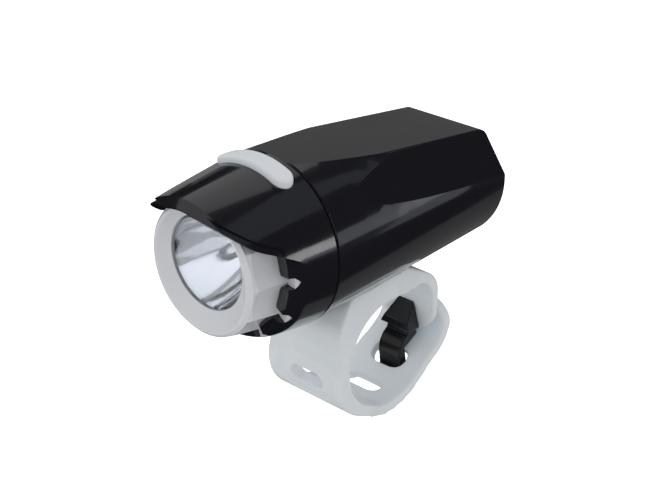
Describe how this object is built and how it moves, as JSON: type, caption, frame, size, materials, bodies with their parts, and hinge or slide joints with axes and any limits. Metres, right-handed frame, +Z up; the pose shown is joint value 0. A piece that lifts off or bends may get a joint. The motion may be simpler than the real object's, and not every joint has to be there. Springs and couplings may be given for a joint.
{
  "type": "bicycle headlight",
  "caption": "Small barrel-shaped bicycle headlight with a hood, a fluted clear crown, a top push button and a silicone strap that hooks round a handlebar.",
  "frame": {"origin": "centre of the handlebar that the strap holds, at the middle of the strap's width", "axes": "+X along the handlebar, the beam leaves towards -Y, +Z up with the light above the bar"},
  "size_m": [0.038, 0.0817, 0.0699],
  "materials": {
    "black_shell": "gloss",
    "black_inner": "matte",
    "clear_plastic": "clear",
    "bright_cup": "mirror-bright",
    "board_metal": "satin",
    "lamp_white": "matte",
    "seal_rubber": "matte",
    "steel": "satin",
    "green_board": "satin",
    "chip_black": "matte",
    "button_rubber": "matte",
    "cradle_plastic": "matte",
    "cell_jacket": "satin",
    "brass_pins": "satin",
    "strap_silicone": "milky satin",
    "hook_plastic": "satin"
  },
  "bodies": {
    "housing": {"rear_housing": "black_shell", "strap_saddle": "strap_silicone", "strap_hook": "hook_plastic", "saddle_screws": "steel", "saddle_washers": "steel"},
    "head": {"head_shell": "black_shell", "crown_lens": "clear_plastic", "reflector": "bright_cup", "led_board": "board_metal", "led_package": "lamp_white", "led_dome": "clear_plastic", "lamp_carrier": "black_inner", "o_ring_seal": "seal_rubber", "carrier_screws": "steel", "cradle_screws": "steel", "board_screws": "steel", "driver_board": "green_board", "driver_chip": "chip_black", "switch_board": "green_board", "switch_body": "chip_black", "battery_cradle": "cradle_plastic", "cell_1": "cell_jacket", "cell_2": "cell_jacket", "cell_3": "cell_jacket", "contact_springs": "steel", "front_contacts": "steel", "rear_contacts": "steel", "output_pins": "brass_pins"},
    "button": {"power_button": "button_rubber", "button_plunger": "button_rubber", "switch_stem": "black_inner"},
    "strap_end": {"strap_end": "strap_silicone"}
  },
  "joints": [
    {"name": "head_pull", "type": "slide", "parent": "housing", "child": "head", "axis": [0, -1, 0], "range_m": [0, 0.06]},
    {"name": "button_press", "type": "slide", "parent": "head", "child": "button", "axis": [0, 0, -1], "range_m": [0, 0.0005], "stiffness_N_per_m": 4000, "springref_m": -0.0002},
    {"name": "strap_swing", "type": "hinge", "parent": "housing", "child": "strap_end", "pos_m": [0, -0.00199, -0.01457], "axis": [-1, 0, 0], "range_deg": [0, 60]}
  ]
}
